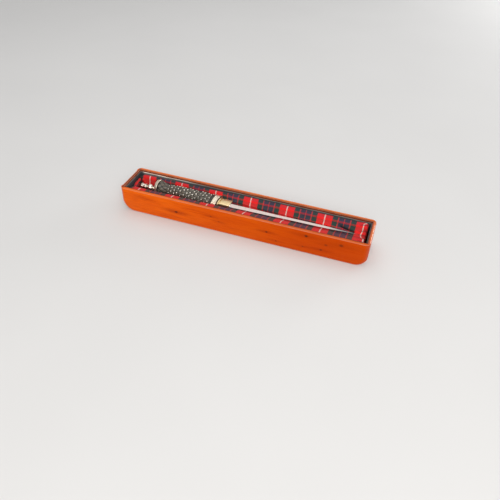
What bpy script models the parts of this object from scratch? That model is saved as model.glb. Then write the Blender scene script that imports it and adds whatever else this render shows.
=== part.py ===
"""Dress dirk in its open, tartan-lined wooden case.

Frame: +X along the case towards the blade's point, +Y towards the case's back side, +Z up.
The origin is on the ground under the middle of the case. The lists of sizes are in
millimetres and are turned into metres by mm().
"""
import math

import bmesh
import bpy
from mathutils import Matrix, Vector

# ---------------------------------------------------------------- driving dimensions, mm
CASE_LENGTH = 510.0
CASE_WIDTH = 83.0
CASE_HEIGHT = 52.0
WALL = 7.0
BOTTOM_THICKNESS = 7.0
PLAN_CORNER_RADIUS = 11.0       # the upright corners, seen from above
LEFT_END_RADIUS = 23.0          # the turned-under ends, seen from the side
RIGHT_END_RADIUS = 17.0
END_ARRIS = 4.0                 # the rounded top edge of each end
GAP = 0.3                       # between pieces that touch

LINER_THICKNESS = 1.8
LINER_DROP = 3.0                # liner edge below the rim
FLOOR_LINER_THICKNESS = 1.0
CLOTH_THICKNESS = 1.0

DIRK_ORIGIN = (-58.0, 6.0, 38.0)    # where hilt and blade meet, on the dirk's long axis
DIRK_YAW = math.radians(-0.57)
DIRK_ROLL = math.radians(-3.0)      # the dirk leans on the front slope of the lining

BLADE_TIP = 280.0
RICASSO_LENGTH = 26.0
RICASSO_HALF_WIDTH = 10.2
RICASSO_HALF_THICKNESS = 1.5
SLEEVE_WALL = 0.8
TANG_HALF = (4.0, 2.2)
TANG_END = -131.0

RING_RADIUS = 15.0
FINIAL_OFFSET = (-4.0, -3.0)        # the finial is set off the dirk's axis

HALF_LENGTH = CASE_LENGTH / 2
HALF_WIDTH = CASE_WIDTH / 2
INNER_HALF_WIDTH = HALF_WIDTH - WALL
INNER_HALF_LENGTH = HALF_LENGTH - WALL
LINER_FACE_Y = INNER_HALF_WIDTH - GAP - LINER_THICKNESS
LINER_FACE_X = INNER_HALF_LENGTH - GAP - LINER_THICKNESS
LINER_BOTTOM = BOTTOM_THICKNESS + GAP
LINER_TOP = CASE_HEIGHT - LINER_DROP
LINER_FOOT = LEFT_END_RADIUS + GAP      # the upright liners stand above the bent ends
FLOOR_LEFT = -HALF_LENGTH + LEFT_END_RADIUS + GAP
FLOOR_RIGHT = HALF_LENGTH - RIGHT_END_RADIUS - GAP
PADDING_BOTTOM = LINER_BOTTOM + FLOOR_LINER_THICKNESS + GAP


def mm(*values):
    """Millimetres to metres, for one number or for a point."""
    scaled = tuple(value * 0.001 for value in values)
    return scaled[0] if len(scaled) == 1 else scaled


# ---------------------------------------------------------------- scene and materials
for old in list(bpy.data.objects):
    bpy.data.objects.remove(old, do_unlink=True)


def new_collection(name):
    collection = bpy.data.collections.new(name)
    bpy.context.scene.collection.children.link(collection)
    return collection


PARTS = new_collection("cased_dirk")
CUTTERS = new_collection("cutters")


def material(name, colour, roughness, metallic=0.0):
    made = bpy.data.materials.new(name)
    made.use_nodes = True
    shader = made.node_tree.nodes["Principled BSDF"]
    shader.inputs["Base Color"].default_value = (*colour, 1.0)
    shader.inputs["Roughness"].default_value = roughness
    shader.inputs["Metallic"].default_value = metallic
    return made


VARNISHED_WOOD = material("varnished_wood", (0.55, 0.12, 0.02), 0.25)
LINER_BLACK = material("liner_black", (0.03, 0.03, 0.035), 0.8)
TARTAN = material("tartan", (0.55, 0.06, 0.07), 0.9)
WADDING = material("wadding", (0.8, 0.79, 0.75), 1.0)
STEEL = material("polished_steel", (0.72, 0.73, 0.75), 0.12, 1.0)
BRASS = material("brass", (0.78, 0.6, 0.33), 0.3, 1.0)
SILVER = material("silver", (0.86, 0.83, 0.77), 0.2, 1.0)
LEATHER = material("dark_leather", (0.05, 0.04, 0.03), 0.7)
BLACKWOOD = material("carved_blackwood", (0.13, 0.115, 0.1), 0.45)


def place(obj, node_material, collection=PARTS):
    """Put an object in its collection, with its one material."""
    for old in list(obj.users_collection):
        old.objects.unlink(obj)
    collection.objects.link(obj)
    if node_material is not None:
        obj.data.materials.clear()
        obj.data.materials.append(node_material)
    return obj


def from_bmesh(name, shape, node_material, collection=PARTS, smooth=False):
    """Make an object from a bmesh whose faces are turned outwards here."""
    bmesh.ops.recalc_face_normals(shape, faces=shape.faces)
    mesh = bpy.data.meshes.new(name)
    shape.to_mesh(mesh)
    shape.free()
    obj = bpy.data.objects.new(name, mesh)
    place(obj, node_material, collection)
    if smooth:
        mesh.shade_smooth()
        mesh.set_sharp_from_angle(angle=math.radians(35))
    return obj


def box(name, low, high, node_material, collection=PARTS, edge=0.0):
    """A box between two corners in millimetres, with its edges rounded by edge."""
    shape = bmesh.new()
    bmesh.ops.create_cube(shape, size=1.0)
    size = Vector(mm(*(b - a for a, b in zip(low, high))))
    centre = Vector(mm(*((a + b) / 2 for a, b in zip(low, high))))
    bmesh.ops.scale(shape, vec=size, verts=shape.verts)
    bmesh.ops.translate(shape, vec=centre, verts=shape.verts)
    obj = from_bmesh(name, shape, node_material, collection)
    if edge:
        add_bevel(obj, edge)
    return obj


def add_bevel(obj, width, segments=2):
    bevel = obj.modifiers.new("edges", "BEVEL")
    bevel.width = mm(width)
    bevel.segments = segments
    bevel.limit_method = "ANGLE"
    bevel.angle_limit = math.radians(40)


def prism(name, outline, axis, low, high, node_material, collection=PARTS):
    """Extrude an outline along an axis: "X" takes (y, z) points, "Y" (x, z), "Z" (x, y)."""
    def corner(point, along):
        if axis == "X":
            return mm(along, point[0], point[1])
        if axis == "Y":
            return mm(point[0], along, point[1])
        return mm(point[0], point[1], along)

    shape = bmesh.new()
    face = shape.faces.new([shape.verts.new(corner(point, low)) for point in outline])
    grown = bmesh.ops.extrude_face_region(shape, geom=[face])
    moved = [item for item in grown["geom"] if isinstance(item, bmesh.types.BMVert)]
    push = Vector(corner((0.0, 0.0), high - low))
    bmesh.ops.translate(shape, vec=push, verts=moved)
    return from_bmesh(name, shape, node_material, collection)


def as_cutter(obj):
    obj.hide_render = True
    obj.display_type = "WIRE"
    return obj


def boolean(obj, cutter, operation):
    cut = obj.modifiers.new(operation.lower(), "BOOLEAN")
    cut.operation = operation
    cut.object = cutter
    cut.solver = "EXACT"


def arc(centre, radius, start_degrees, end_degrees, steps):
    """Points along a circular arc, both ends included."""
    points = []
    for step in range(steps + 1):
        angle = math.radians(start_degrees + (end_degrees - start_degrees) * step / steps)
        points.append((centre[0] + radius * math.cos(angle),
                       centre[1] + radius * math.sin(angle)))
    return points


# ---------------------------------------------------------------- the wooden case
def plan_envelope():
    """The case seen from above, with its rounded upright corners, as a tall cutter."""
    x, y, radius = HALF_LENGTH, HALF_WIDTH, PLAN_CORNER_RADIUS
    outline = []
    for sign_x, sign_y, start in ((1, 1, 0), (-1, 1, 90), (-1, -1, 180), (1, -1, 270)):
        centre = (sign_x * (x - radius), sign_y * (y - radius))
        outline += arc(centre, radius, start, start + 90, 6)
    return as_cutter(prism("plan_envelope", outline, "Z", -5.0, CASE_HEIGHT + 5.0,
                           None, CUTTERS))


def side_board(name, low_y, high_y, envelope):
    """A long side: its ends turn under at the bottom and round off at the corners."""
    x, left, right = HALF_LENGTH, LEFT_END_RADIUS, RIGHT_END_RADIUS
    outline = [(x, CASE_HEIGHT), (-x, CASE_HEIGHT)]
    outline += arc((-x + left, left), left, 180, 270, 8)
    outline += arc((x - right, right), right, 270, 360, 8)
    board = prism(name, outline, "Y", low_y, high_y, VARNISHED_WOOD)
    boolean(board, envelope, "INTERSECT")
    return board


def end_board(name, side, radius, envelope):
    """An end between the long sides, bent under at the bottom to meet the bottom board."""
    outer = arc((HALF_LENGTH - radius, radius), radius, 0, -90, 8)
    inner = arc((HALF_LENGTH - radius, radius), radius - WALL, -90, 0, 6)
    top = arc((HALF_LENGTH - END_ARRIS, CASE_HEIGHT - END_ARRIS), END_ARRIS, 90, 0, 4)
    outline = top + outer + inner + [(INNER_HALF_LENGTH, CASE_HEIGHT)]
    outline = [(side * x, z) for x, z in outline]
    width = INNER_HALF_WIDTH - GAP
    board = prism(name, outline, "Y", -width, width, VARNISHED_WOOD)
    boolean(board, envelope, "INTERSECT")
    return board


def build_case():
    envelope = plan_envelope()
    side_board("front_side", -HALF_WIDTH, -INNER_HALF_WIDTH, envelope)
    side_board("back_side", INNER_HALF_WIDTH, HALF_WIDTH, envelope)
    end_board("left_end", -1, LEFT_END_RADIUS, envelope)
    end_board("right_end", 1, RIGHT_END_RADIUS, envelope)
    width = INNER_HALF_WIDTH - GAP
    box("bottom_board", (FLOOR_LEFT, -width, 0.0), (FLOOR_RIGHT, width, BOTTOM_THICKNESS),
        VARNISHED_WOOD)


# ---------------------------------------------------------------- the lining
def build_liners():
    """Thin black liner strips stand round the inside and a sheet lies on the floor."""
    outside_y = INNER_HALF_WIDTH - GAP
    outside_x = INNER_HALF_LENGTH - GAP
    for name, side in (("front_liner", -1), ("back_liner", 1)):
        faces = sorted((side * LINER_FACE_Y, side * outside_y))
        box(name, (-outside_x, faces[0], LINER_FOOT), (outside_x, faces[1], LINER_TOP),
            LINER_BLACK)
    for name, side in (("left_liner", -1), ("right_liner", 1)):
        faces = sorted((side * LINER_FACE_X, side * outside_x))
        inside_y = LINER_FACE_Y - GAP
        box(name, (faces[0], -inside_y, LINER_FOOT), (faces[1], inside_y, LINER_TOP),
            LINER_BLACK)
    box("floor_liner", (FLOOR_LEFT, -outside_y, LINER_BOTTOM),
        (FLOOR_RIGHT, outside_y, LINER_BOTTOM + FLOOR_LINER_THICKNESS), LINER_BLACK)


# Sections of the padded cloth from the back liner to the front liner, (y, z) of its top
# surface. The trough is shallow and narrow under the blade, deep and wide under the hilt.
BLADE_SECTION = [(32.0, 45.9), (29.5, 45.7), (26.0, 45.0), (23.8, 43.2), (22.3, 39.8),
                 (20.0, 36.4), (16.0, 34.6), (10.0, 33.9), (4.0, 33.6), (-1.0, 34.0),
                 (-5.0, 35.6), (-9.0, 37.9), (-14.0, 40.4), (-19.0, 42.5), (-24.0, 43.7),
                 (-28.0, 44.1), (-32.0, 44.1)]
HILT_SECTION = [(32.0, 45.9), (29.8, 45.7), (27.4, 44.9), (25.6, 43.0), (24.7, 39.0),
                (24.0, 33.5), (21.3, 27.0), (15.5, 22.6), (7.0, 21.2), (-1.5, 22.6),
                (-7.0, 27.0), (-10.2, 33.5), (-11.6, 38.5), (-15.0, 41.5), (-20.0, 43.2),
                (-26.0, 44.0), (-32.0, 44.1)]
LIP_SECTION = [(32.0, 45.9), (29.8, 45.7), (27.4, 45.0), (25.6, 44.3), (24.7, 43.8),
               (24.0, 43.4), (21.3, 42.9), (15.5, 42.6), (7.0, 42.4), (-1.5, 42.0),
               (-7.0, 41.8), (-10.2, 41.7), (-11.6, 41.7), (-15.0, 42.2), (-20.0, 43.2),
               (-26.0, 44.0), (-32.0, 44.1)]
TROUGH_STEP = (-54.0, -26.0)        # the trough changes from one section to the other
LIP_STEP = (-237.5, -232.0)         # a raised lip closes the trough's left end
CLOTH_LEFT = -244.6
CLOTH_RIGHT = 241.6
LEFT_FALL = (12.0, 4.5)             # the cloth falls by 4.5 mm over its last 12 mm
RIGHT_FALL = (4.0, 8.0)


def smooth_step(value, low, high):
    ratio = min(max((value - low) / (high - low), 0.0), 1.0)
    return ratio * ratio * (3.0 - 2.0 * ratio)


def cloth_row(x):
    """The cloth's section at one place along the case."""
    blend = smooth_step(x, *TROUGH_STEP)
    lip = 1.0 - smooth_step(x, *LIP_STEP)
    fall = LEFT_FALL[1] * smooth_step(CLOTH_LEFT + LEFT_FALL[0] - x, 0.0, LEFT_FALL[0])
    fall += RIGHT_FALL[1] * smooth_step(x - CLOTH_RIGHT + RIGHT_FALL[0], 0.0, RIGHT_FALL[0])
    floor = 21.2
    row = []
    for hilt, blade, raised in zip(HILT_SECTION, BLADE_SECTION, LIP_SECTION):
        y = hilt[0] + (blade[0] - hilt[0]) * blend + (raised[0] - hilt[0]) * lip
        z = hilt[1] + (blade[1] - hilt[1]) * blend + (raised[1] - hilt[1]) * lip
        row.append((y, z - fall * (z - floor) / (45.0 - floor)))
    return row


def build_cover():
    """One tartan cloth over all the wadding: an open surface made solid."""
    stations = [CLOTH_LEFT, -242.2, -239.8]
    stations += [LIP_STEP[0] + (LIP_STEP[1] - LIP_STEP[0]) * step / 5 for step in range(6)]
    stations += [-215.0, -140.0, -70.0]
    stations += [TROUGH_STEP[0] + (TROUGH_STEP[1] - TROUGH_STEP[0]) * step / 5
                 for step in range(6)]
    stations += [60.0, 150.0, 220.0]
    stations += [CLOTH_RIGHT - RIGHT_FALL[0] * (4 - step) / 4 for step in range(5)]
    shape = bmesh.new()
    rows = []
    for x in stations:
        rows.append([shape.verts.new(mm(x, y, z)) for y, z in cloth_row(x)])
    for first, second in zip(rows, rows[1:]):
        for index in range(len(first) - 1):
            shape.faces.new((first[index], first[index + 1],
                             second[index + 1], second[index]))
    mesh = bpy.data.meshes.new("tartan_cover")
    shape.to_mesh(mesh)
    shape.free()
    cover = bpy.data.objects.new("tartan_cover", mesh)
    place(cover, TARTAN)
    mesh.shade_smooth()
    thickness = cover.modifiers.new("cloth", "SOLIDIFY")
    thickness.thickness = mm(CLOTH_THICKNESS)
    thickness.offset = -1.0
    thickness.use_even_offset = True


def build_wadding():
    """The padding under the cloth: two long rolls, a base and a rest for the blade."""
    rolls_left, rolls_right = -228.0, 232.0
    base_top = 19.8
    low = base_top + GAP
    front = [(-31.6, low), (-12.9, low), (-12.9, 36.6), (-14.2, 38.4), (-19.0, 40.6),
             (-23.0, 41.8), (-27.0, 42.2), (-31.6, 42.2)]
    back = [(31.6, low), (26.3, low), (26.4, 37.0), (26.9, 41.0), (27.8, 42.7),
            (29.6, 43.8), (31.6, 43.9)]
    prism("front_wadding", front, "X", rolls_left, rolls_right, WADDING)
    prism("back_wadding", back, "X", rolls_left, rolls_right, WADDING)
    box("base_wadding", (FLOOR_LEFT, -31.6, PADDING_BOTTOM), (FLOOR_RIGHT, 31.6, base_top),
        WADDING)
    box("blade_wadding", (-24.0, -12.6, low), (rolls_right, 19.2, 32.1), WADDING)


# ---------------------------------------------------------------- the dirk
def dirk_empty():
    """All the dirk's pieces hang from one empty on its long axis."""
    empty = bpy.data.objects.new("dirk_axis", None)
    bpy.context.scene.collection.objects.link(empty)
    empty.location = mm(*DIRK_ORIGIN)
    empty.rotation_euler = (DIRK_ROLL, 0.0, DIRK_YAW)
    return empty


def loft(name, sections, node_material, smooth=False):
    """A closed solid through sections: each is (x, [(y, z), ...]) with equal counts."""
    shape = bmesh.new()
    rings = []
    for x, points in sections:
        rings.append([shape.verts.new(mm(x, y, z)) for y, z in points])
    count = len(rings[0])
    for first, second in zip(rings, rings[1:]):
        for index in range(count):
            following = (index + 1) % count
            shape.faces.new((first[index], first[following],
                             second[following], second[index]))
    shape.faces.new(rings[0])
    shape.faces.new(list(reversed(rings[-1])))
    return from_bmesh(name, shape, node_material, PARTS, smooth)


def oval(half_width, half_height, segments=28):
    points = []
    for index in range(segments):
        angle = 2.0 * math.pi * index / segments
        points.append((half_width * math.cos(angle), half_height * math.sin(angle)))
    return points


def turned(name, profile, node_material, offset=(0.0, 0.0), flatten=1.0, segments=28,
           collection=PARTS):
    """A piece turned about the dirk's axis from (x, radius) points, listed along +X.

    The profile's first and last points are on the axis, or it is closed like a ring.
    flatten squeezes the piece in height.
    """
    closed = profile[0][1] > 0.0
    mesh = bpy.data.meshes.new(name)
    points = [Vector(mm(x, 0.0, radius)) for x, radius in profile]
    edges = [(index, index + 1) for index in range(len(points) - 1)]
    if closed:
        edges.append((len(points) - 1, 0))
    mesh.from_pydata(points, edges, [])
    blank = bpy.data.objects.new(name + "_blank", mesh)
    CUTTERS.objects.link(blank)
    screw = blank.modifiers.new("turn", "SCREW")
    screw.axis = "X"
    screw.steps = segments
    screw.render_steps = segments
    screw.use_merge_vertices = True
    screw.merge_threshold = 0.00001
    bpy.context.view_layer.update()
    graph = bpy.context.evaluated_depsgraph_get()
    solid = bpy.data.meshes.new_from_object(blank.evaluated_get(graph))
    bpy.data.objects.remove(blank, do_unlink=True)
    shape = bmesh.new()
    shape.from_mesh(solid)
    bpy.data.meshes.remove(solid)
    bmesh.ops.remove_doubles(shape, verts=shape.verts, dist=0.00001)
    bmesh.ops.scale(shape, vec=(1.0, 1.0, flatten), verts=shape.verts)
    bmesh.ops.translate(shape, vec=mm(0.0, *offset), verts=shape.verts)
    return from_bmesh(name, shape, node_material, collection, smooth=True)


def blade_section(half_width, ridge, edge, flat):
    """Eight points round a section: two edges, and a flat or a ridge above and below."""
    return [(-half_width, -edge), (-half_width, edge), (-flat, ridge), (flat, ridge),
            (half_width, edge), (half_width, -edge), (flat, -ridge), (-flat, -ridge)]


# Half width of the blade along its length, from the ricasso to the point.
BLADE_HALF_WIDTHS = [(26.6, 10.0), (40.0, 9.6), (64.0, 8.7), (90.0, 8.0), (114.0, 7.5),
                     (150.0, 6.7), (186.0, 6.0), (210.0, 5.3), (228.0, 4.5), (244.0, 3.5),
                     (258.0, 2.3), (270.0, 1.1), (BLADE_TIP, 0.3)]


def build_blade():
    """Blade, ricasso and tang are one forging; the blade has a ridge down each face."""
    tang_width, tang_height = TANG_HALF
    thread = 2.0
    sections = [(TANG_END, blade_section(thread, thread, thread, thread / 2)),
                (TANG_END + 6.0, blade_section(thread, thread, thread, thread / 2)),
                (TANG_END + 7.0, blade_section(tang_width, tang_height, tang_height, 2.0)),
                (2.5, blade_section(tang_width, tang_height, tang_height, 2.0))]
    ricasso = blade_section(RICASSO_HALF_WIDTH, RICASSO_HALF_THICKNESS,
                            RICASSO_HALF_THICKNESS, 3.0)
    sections += [(2.6, ricasso), (RICASSO_LENGTH - 0.2, ricasso)]
    for x, half_width in BLADE_HALF_WIDTHS:
        ridge = 0.25 + 2.1 * min(half_width / 8.0, 1.0)
        edge = 0.25 if half_width > 0.5 else 0.12
        flat = min(0.3, half_width / 3.0)
        sections.append((x, blade_section(half_width, ridge, edge, flat)))
    return loft("blade", sections, STEEL)


def tang_hole(name, low_x, high_x, extra=GAP):
    half_y, half_z = TANG_HALF[0] + extra, TANG_HALF[1] + extra
    return as_cutter(box(name, (low_x, -half_y, -half_z), (high_x, half_y, half_z),
                         None, CUTTERS))


def build_sleeve():
    """A thin brass sleeve, rectangular in section, round the ricasso."""
    half_y = RICASSO_HALF_WIDTH + GAP + SLEEVE_WALL
    half_z = RICASSO_HALF_THICKNESS + GAP + SLEEVE_WALL
    sleeve = box("ricasso_sleeve", (2.9, -half_y, -half_z), (RICASSO_LENGTH, half_y, half_z),
                 BRASS, edge=0.5)
    inside_y, inside_z = half_y - SLEEVE_WALL, half_z - SLEEVE_WALL
    hole = as_cutter(box("sleeve_hole", (-5.0, -inside_y, -inside_z),
                         (RICASSO_LENGTH + 5.0, inside_y, inside_z), None, CUTTERS))
    boolean(sleeve, hole, "DIFFERENCE")
    return [sleeve, hole]


def build_hilt_mounts():
    """Plate, washer and ferrule: flat oval pieces threaded on the tang."""
    plate = turned("throat_plate", [(0.0, 0.0), (0.0, 13.0), (0.5, 13.6), (1.8, 13.6),
                                    (2.3, 13.0), (2.3, 0.0)], BRASS, flatten=0.42)
    washer = turned("hilt_washer", [(-1.9, 0.0), (-1.9, 14.6), (-0.3, 14.6), (-0.3, 0.0)],
                    LEATHER, flatten=0.47)
    ferrule = turned("ferrule", [(-12.8, 0.0), (-12.8, 15.8), (-12.0, 16.6), (-10.6, 16.6),
                                 (-9.8, 15.7), (-8.8, 15.6), (-6.4, 15.7), (-5.4, 16.0),
                                 (-4.6, 16.9), (-3.2, 16.9), (-2.2, 16.0), (-2.2, 0.0)],
                     SILVER, flatten=0.5)
    hole = tang_hole("mount_hole", -20.0, 2.45)
    hole_plate = tang_hole("plate_hole", -5.0, 10.0)
    boolean(plate, hole_plate, "DIFFERENCE")
    boolean(washer, hole, "DIFFERENCE")
    boolean(ferrule, hole, "DIFFERENCE")
    return [plate, washer, ferrule, hole, hole_plate]


# Half width and half height of the grip from the pommel to the ferrule: a bulb, a waist,
# and a swell that widens and flattens into the shoulders.
GRIP_SECTIONS = [(-133.0, 13.4, 13.4), (-129.5, 14.3, 14.3), (-125.0, 14.0, 13.9),
                 (-119.5, 12.2, 12.0), (-114.0, 10.7, 10.3), (-109.0, 10.1, 9.6),
                 (-103.0, 10.5, 9.8), (-95.0, 11.6, 10.6), (-84.0, 12.6, 11.1),
                 (-70.0, 13.0, 10.9), (-54.0, 13.4, 10.1), (-38.0, 14.2, 9.1),
                 (-24.0, 15.2, 8.2), (-13.1, 15.8, 7.8)]


def grip_size(x):
    """Half width and half height of the grip at x, straight between the sections."""
    for (x0, w0, h0), (x1, w1, h1) in zip(GRIP_SECTIONS, GRIP_SECTIONS[1:]):
        if x0 <= x <= x1:
            ratio = (x - x0) / (x1 - x0)
            return w0 + (w1 - w0) * ratio, h0 + (h1 - h0) * ratio
    return GRIP_SECTIONS[-1][1:]


STUD_ROWS = 14
STUDS_PER_ROW = 8
STUD_RADIUS = 1.35
STUD_DEPTH = 1.6
STUD_LIFT = 0.2                     # from the grip's surface to a head's middle
STUD_SPAN = (-108.0, -17.5)


def stud_heads():
    """Domed stud heads in staggered rows round the grip, sunk a little into it."""
    shape = bmesh.new()
    for row in range(STUD_ROWS):
        x = STUD_SPAN[0] + (STUD_SPAN[1] - STUD_SPAN[0]) * row / (STUD_ROWS - 1)
        width, height = grip_size(x)
        for index in range(STUDS_PER_ROW):
            angle = 2.0 * math.pi * (index + 0.5 * (row % 2)) / STUDS_PER_ROW
            normal = Vector((0.0, math.cos(angle) / width, math.sin(angle) / height))
            normal.normalize()
            seat = Vector((x, width * math.cos(angle), height * math.sin(angle)))
            made = bmesh.ops.create_cone(shape, cap_ends=True, segments=6,
                                         radius1=mm(STUD_RADIUS), radius2=mm(STUD_RADIUS / 2),
                                         depth=mm(STUD_DEPTH))
            turn = normal.to_track_quat("Z", "X").to_matrix().to_4x4()
            centre = Vector(mm(*(seat + normal * STUD_LIFT)))
            bmesh.ops.transform(shape, matrix=Matrix.Translation(centre) @ turn,
                                verts=made["verts"])
    return as_cutter(from_bmesh("stud_heads", shape, None, CUTTERS))


def build_grip():
    """The carved grip with its studs driven in, bored for the tang and its nut."""
    grip = loft("grip", [(x, oval(w, h)) for x, w, h in GRIP_SECTIONS], BLACKWOOD,
                smooth=True)
    hole = tang_hole("grip_hole", -127.0, 10.0)
    pocket = as_cutter(turned("nut_pocket", [(-140.0, 0.0), (-140.0, 5.8), (-126.5, 5.8),
                                             (-126.5, 0.0)], None, segments=16,
                              collection=CUTTERS))
    studs = stud_heads()
    boolean(grip, studs, "UNION")
    boolean(grip, hole, "DIFFERENCE")
    boolean(grip, pocket, "DIFFERENCE")
    return [grip, studs, hole, pocket]


def build_pommel():
    """Tang nut, cap and rim ring, and the finial set off the axis."""
    nut = turned("tang_nut", [(-132.4, 0.0), (-132.4, 4.6), (-129.0, 4.6), (-129.0, 0.0)],
                 BRASS, segments=6)
    thread_hole = as_cutter(turned("nut_hole", [(-140.0, 0.0), (-140.0, 3.2), (-120.0, 3.2),
                                                (-120.0, 0.0)], None, segments=16,
                                   collection=CUTTERS))
    boolean(nut, thread_hole, "DIFFERENCE")
    cap = turned("pommel_cap", [(-138.2, 0.0), (-138.2, 9.5), (-137.6, 11.6),
                                (-136.2, 12.8), (-133.4, 12.8), (-133.4, 0.0)], SILVER)
    inner = 13.1
    ring_profile = [(-136.4, inner), (-137.2, 14.0), (-136.9, 14.7), (-136.0, RING_RADIUS),
                    (-134.6, RING_RADIUS), (-133.7, 14.6), (-133.4, 13.9), (-133.4, inner)]
    ring = turned("pommel_ring", ring_profile, SILVER, segments=36)
    base = turned("finial_base", [(-145.4, 0.0), (-145.4, 3.0), (-143.6, 3.1),
                                  (-141.6, 4.2), (-140.0, 5.6), (-139.2, 5.8),
                                  (-138.5, 5.6), (-138.5, 0.0)], SILVER, FINIAL_OFFSET)
    ball = turned("finial_ball", [(-152.0 + x, r) for x, r in reversed(
        [(6.3 * math.cos(a), max(6.5 * math.sin(a), 0.0))
         for a in [math.pi * step / 12 for step in range(13)]])], SILVER, FINIAL_OFFSET)
    spool = turned("finial_spool", [(-172.6, 0.0), (-172.6, 3.6), (-172.0, 4.5),
                                    (-171.0, 4.9), (-160.8, 4.9), (-159.9, 4.4),
                                    (-159.4, 3.2), (-158.7, 3.0), (-158.7, 0.0)],
                   SILVER, FINIAL_OFFSET, segments=20)
    return [nut, thread_hole, cap, ring, base, ball, spool]


def build_dirk():
    empty = dirk_empty()
    pieces = [build_blade()]
    pieces += build_sleeve() + build_hilt_mounts() + build_grip() + build_pommel()
    for piece in pieces:
        piece.parent = empty


build_case()
build_liners()
build_wadding()
build_cover()
build_dirk()
bpy.context.view_layer.update()
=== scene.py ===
"""The looks of a dress dirk in its tartan-lined case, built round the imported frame.

Sizes are in millimetres and turned into metres by mm(). +X runs along the case towards the
blade's point, +Y towards the back of the case, +Z up.
"""

import math
import random

import bmesh
import bpy
from mathutils import Euler, Matrix, Vector, noise


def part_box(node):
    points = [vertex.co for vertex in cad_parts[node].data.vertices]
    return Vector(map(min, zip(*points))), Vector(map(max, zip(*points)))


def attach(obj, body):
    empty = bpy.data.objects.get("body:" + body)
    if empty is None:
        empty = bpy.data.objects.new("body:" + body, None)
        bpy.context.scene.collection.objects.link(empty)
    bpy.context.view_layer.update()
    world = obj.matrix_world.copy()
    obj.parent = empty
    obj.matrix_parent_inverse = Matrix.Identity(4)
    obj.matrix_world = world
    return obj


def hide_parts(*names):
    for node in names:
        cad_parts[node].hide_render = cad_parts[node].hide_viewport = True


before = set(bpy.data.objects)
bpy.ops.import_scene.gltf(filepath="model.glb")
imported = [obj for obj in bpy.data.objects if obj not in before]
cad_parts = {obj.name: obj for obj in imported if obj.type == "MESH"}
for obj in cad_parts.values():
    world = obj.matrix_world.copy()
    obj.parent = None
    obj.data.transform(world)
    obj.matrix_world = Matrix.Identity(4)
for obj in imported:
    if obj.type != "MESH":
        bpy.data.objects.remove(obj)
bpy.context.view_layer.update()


def mm(*values):
    """Millimetres to metres, for one number or for a point."""
    scaled = tuple(value * 0.001 for value in values)
    return scaled[0] if len(scaled) == 1 else scaled


def box_mm(node):
    """A CAD node's lowest and highest corners in millimetres."""
    low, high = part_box(node)
    return low * 1000.0, high * 1000.0


# ---------------- sizes read off the frame
HALF_LENGTH = box_mm("right_end")[1].x
HALF_WIDTH = box_mm("back_side")[1].y
RIM = box_mm("back_side")[1].z
INNER_HALF_WIDTH = box_mm("back_side")[0].y
WALL = HALF_WIDTH - INNER_HALF_WIDTH
LINER_TOP = box_mm("back_liner")[1].z
CLOTH_LEFT = box_mm("tartan_cover")[0].x
CLOTH_RIGHT = box_mm("tartan_cover")[1].x

# ---------------- sizes that the looks add
CORNER_RADIUS = 11.0            # the upright corners
END_RADIUS = {-1: 23.0, 1: 17.0}    # the turned-under ends, left and right
END_ARRIS = 4.0                 # the worn, rounded top edge of the ends
RIM_ARRIS = 0.9
INNER_ARRIS = 0.6               # the rim's inner edge
FOOT_ARRIS = 2.6
GLUE_GAP = 0.05                 # between boards that are glued

DIRK_ORIGIN = (-58.0, 6.0, 38.0)    # where hilt and blade meet, on the dirk's long axis
DIRK_TURN = Euler((math.radians(-3.0), 0.0, math.radians(-0.57)))
DIRK = Matrix.Translation(mm(*DIRK_ORIGIN)) @ DIRK_TURN.to_matrix().to_4x4()
FINIAL_OFFSET = (-4.0, -3.0)        # the finial sits off the dirk's axis, across and down

SETT = 76.2                     # one repeat of the tartan
SETT_START = 5.0                # x of the white line nearest the middle


# ---------------- mesh helpers
def smooth_step(value, low, high):
    """0 at low, 1 at high and a smooth S between them; low may be the larger."""
    ratio = min(max((value - low) / (high - low), 0.0), 1.0)
    return ratio * ratio * (3.0 - 2.0 * ratio)


def blend_between(before, start, stop, after, t):
    """The point at t, from 0 to 1, between start and stop of a Catmull-Rom curve."""
    return 0.5 * (2.0 * start + (stop - before) * t
                  + (2.0 * before - 5.0 * start + 4.0 * stop - after) * t ** 2
                  + (3.0 * start - before - 3.0 * stop + after) * t ** 3)


def add_object(name, data):
    obj = bpy.data.objects.new(name, data)
    bpy.context.scene.collection.objects.link(obj)
    return obj


def object_from(name, shape):
    """A smooth-shaded object from a bmesh in metres, which is used up."""
    mesh = bpy.data.meshes.new(name)
    shape.to_mesh(mesh)
    shape.free()
    mesh.shade_smooth()
    return add_object(name, mesh)


def finish_mesh(name, shape, sharp_degrees):
    """An object from a closed bmesh, faces turned outwards, smooth but for its edges."""
    bmesh.ops.recalc_face_normals(shape, faces=shape.faces)
    obj = object_from(name, shape)
    obj.data.set_sharp_from_angle(angle=math.radians(sharp_degrees))
    return obj


def bridge(shape, loops, ring=False):
    """Join loops of vertices in order; ring also joins the last loop to the first."""
    following = loops[1:] + ([loops[0]] if ring else [])
    for first, second in zip(loops, following):
        count = len(first)
        for index in range(count):
            after = (index + 1) % count
            shape.faces.new((first[index], first[after], second[after], second[index]))


def close_ends(shape, loops):
    shape.faces.new(loops[0])
    shape.faces.new(list(reversed(loops[-1])))


def loft(name, sections, sharp_degrees, ring=False):
    """A closed solid through loops of points in millimetres."""
    shape = bmesh.new()
    loops = [[shape.verts.new(mm(*point)) for point in section] for section in sections]
    bridge(shape, loops, ring)
    if not ring:
        close_ends(shape, loops)
    return finish_mesh(name, shape, sharp_degrees)


def arc(centre, radius, start_degrees, end_degrees, steps):
    """Points along an arc, both its ends included."""
    points = []
    for step in range(steps + 1):
        angle = math.radians(start_degrees + (end_degrees - start_degrees) * step / steps)
        points.append((centre[0] + radius * math.cos(angle),
                       centre[1] + radius * math.sin(angle)))
    return points


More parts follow.
